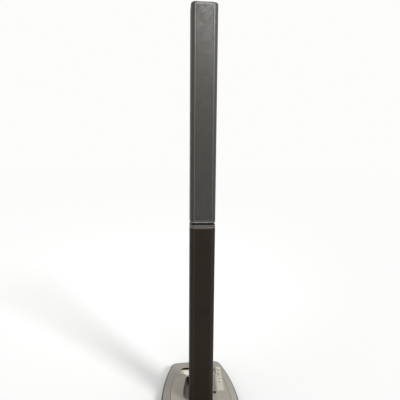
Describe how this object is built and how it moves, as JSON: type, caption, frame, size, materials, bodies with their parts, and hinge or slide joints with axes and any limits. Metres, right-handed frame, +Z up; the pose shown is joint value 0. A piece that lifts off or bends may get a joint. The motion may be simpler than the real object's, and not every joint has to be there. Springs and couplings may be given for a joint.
{
  "type": "column pa system",
  "caption": "Tall two-section line-array loudspeaker column plugged into a low powered stand with a rear hand-hold, column well and control panel.",
  "frame": {"origin": "on the floor, at the middle of the object's bounding box", "axes": "+Z up along the column, +X to the right seen from the audience side, -Y towards the audience"},
  "size_m": [0.434, 0.6996, 2.1],
  "materials": {
    "column": "fine textured black moulding",
    "grille": "black powder-coated perforated steel",
    "baffle": "black painted board",
    "driver": "paper cone, rubber surround, steel basket",
    "connector": "moulded black",
    "cap": "satin black moulding",
    "stand": "textured warm grey moulding",
    "pan": "black painted pressed steel",
    "bumper": "black rubber edge strip",
    "foot": "moulded rubber",
    "well": "dark brown moulding",
    "cup": "black moulding",
    "silver": "satin silver paint",
    "screw": "black oxide",
    "panel": "satin light panel",
    "knob": "moulded grey",
    "nickel": "plated",
    "led": "tinted lens",
    "master": "soft-touch black",
    "vent": "ribbed moulding",
    "rear": "black painted steel",
    "socket": "moulded black",
    "rocker": "gloss red",
    "board": "circuit board",
    "steel": "zinc plated",
    "sink": "extruded"
  },
  "bodies": {
    "base": {"base_top_shell": "stand", "base_bottom_pan": "pan", "base_bumper": "bumper", "foot_1": "foot", "foot_2": "foot", "foot_3": "foot", "foot_4": "foot", "well_liner": "well", "socket_connector": "connector", "handle_cup": "cup", "handle_plate": "silver", "handle_screw_1": "screw", "handle_screw_2": "screw", "control_panel": "panel", "input_jack_1": "nickel", "input_jack_2": "nickel", "status_led": "led", "vent_strip": "vent", "rear_panel": "rear", "line_input_1": "socket", "line_input_2": "socket", "sub_output": "socket", "mains_inlet": "socket", "switch_frame": "socket", "amplifier_board": "board", "power_supply": "steel", "heat_sink": "sink"},
    "lower_array": {"lower_shell": "column", "lower_grille": "grille", "lower_baffle": "baffle", "lower_driver_1": "driver", "lower_driver_2": "driver", "lower_driver_3": "driver", "lower_driver_4": "driver", "lower_driver_5": "driver", "lower_driver_6": "driver", "lower_driver_7": "driver", "lower_driver_8": "driver", "lower_top_cap": "cap", "lower_bottom_cap": "cap", "lower_plug": "connector", "lower_receptacle": "connector"},
    "upper_array": {"upper_shell": "column", "upper_grille": "grille", "upper_baffle": "baffle", "upper_driver_1": "driver", "upper_driver_2": "driver", "upper_driver_3": "driver", "upper_driver_4": "driver", "upper_driver_5": "driver", "upper_driver_6": "driver", "upper_driver_7": "driver", "upper_driver_8": "driver", "upper_top_cap": "cap", "upper_bottom_cap": "cap", "upper_plug": "connector"},
    "master_control": {"master_knob": "master"},
    "level_control_1": {"level_knob_1": "knob"},
    "level_control_2": {"level_knob_2": "knob"},
    "power_switch": {"power_rocker": "rocker"}
  },
  "joints": [
    {"name": "lower_array_lift", "type": "slide", "parent": "base", "child": "lower_array", "axis": [0, 0, 1], "range_m": [0, 0.08]},
    {"name": "upper_array_lift", "type": "slide", "parent": "lower_array", "child": "upper_array", "axis": [0, 0, 1], "range_m": [0, 0.08]},
    {"name": "master_turn", "type": "hinge", "parent": "base", "child": "master_control", "pos_m": [0.0845, 0.031, 0.0834], "axis": [0, 0, 1], "range_deg": [-150, 150]},
    {"name": "level_1_turn", "type": "hinge", "parent": "base", "child": "level_control_1", "pos_m": [0.1335, 0.208, 0.0844], "axis": [0, 0, 1], "range_deg": [-150, 150]},
    {"name": "level_2_turn", "type": "hinge", "parent": "base", "child": "level_control_2", "pos_m": [0.131, 0.172, 0.0844], "axis": [0, 0, 1], "range_deg": [-150, 150]},
    {"name": "power_switch_rock", "type": "hinge", "parent": "base", "child": "power_switch", "pos_m": [0.056, 0.3355, 0.0285], "axis": [1, 0, 0], "range_deg": [-16, 0]}
  ]
}
